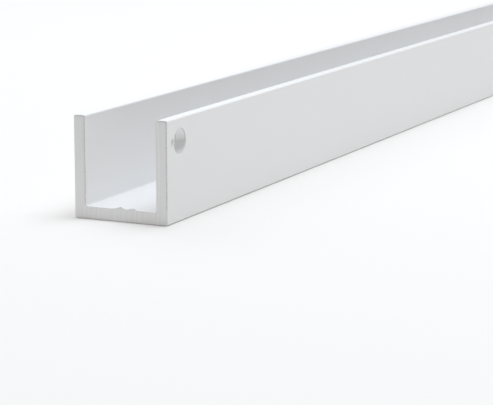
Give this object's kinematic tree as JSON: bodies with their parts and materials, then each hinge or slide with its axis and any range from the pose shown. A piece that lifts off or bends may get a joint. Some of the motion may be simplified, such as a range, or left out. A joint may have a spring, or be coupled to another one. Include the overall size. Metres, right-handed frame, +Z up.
{
  "type": "aluminium u-channel extrusion",
  "caption": "White coated aluminium U-channel bar with a square, even-walled section, sawn ends and a hang hole in one flange. Edges, frames or guides panels and boards.",
  "frame": {"origin": "middle of the bar's underside, halfway along its length", "axes": "+Y along the bar, away from the drilled end; +Z up, out of the open side of the channel; +X towards the flange with the hang hole"},
  "size_m": [0.025, 1, 0.025],
  "materials": {
    "white_powder_coat": "satin",
    "sawn_aluminium": "sawn"
  },
  "bodies": {
    "root": {"u_channel": "white_powder_coat"}
  },
  "joints": []
}
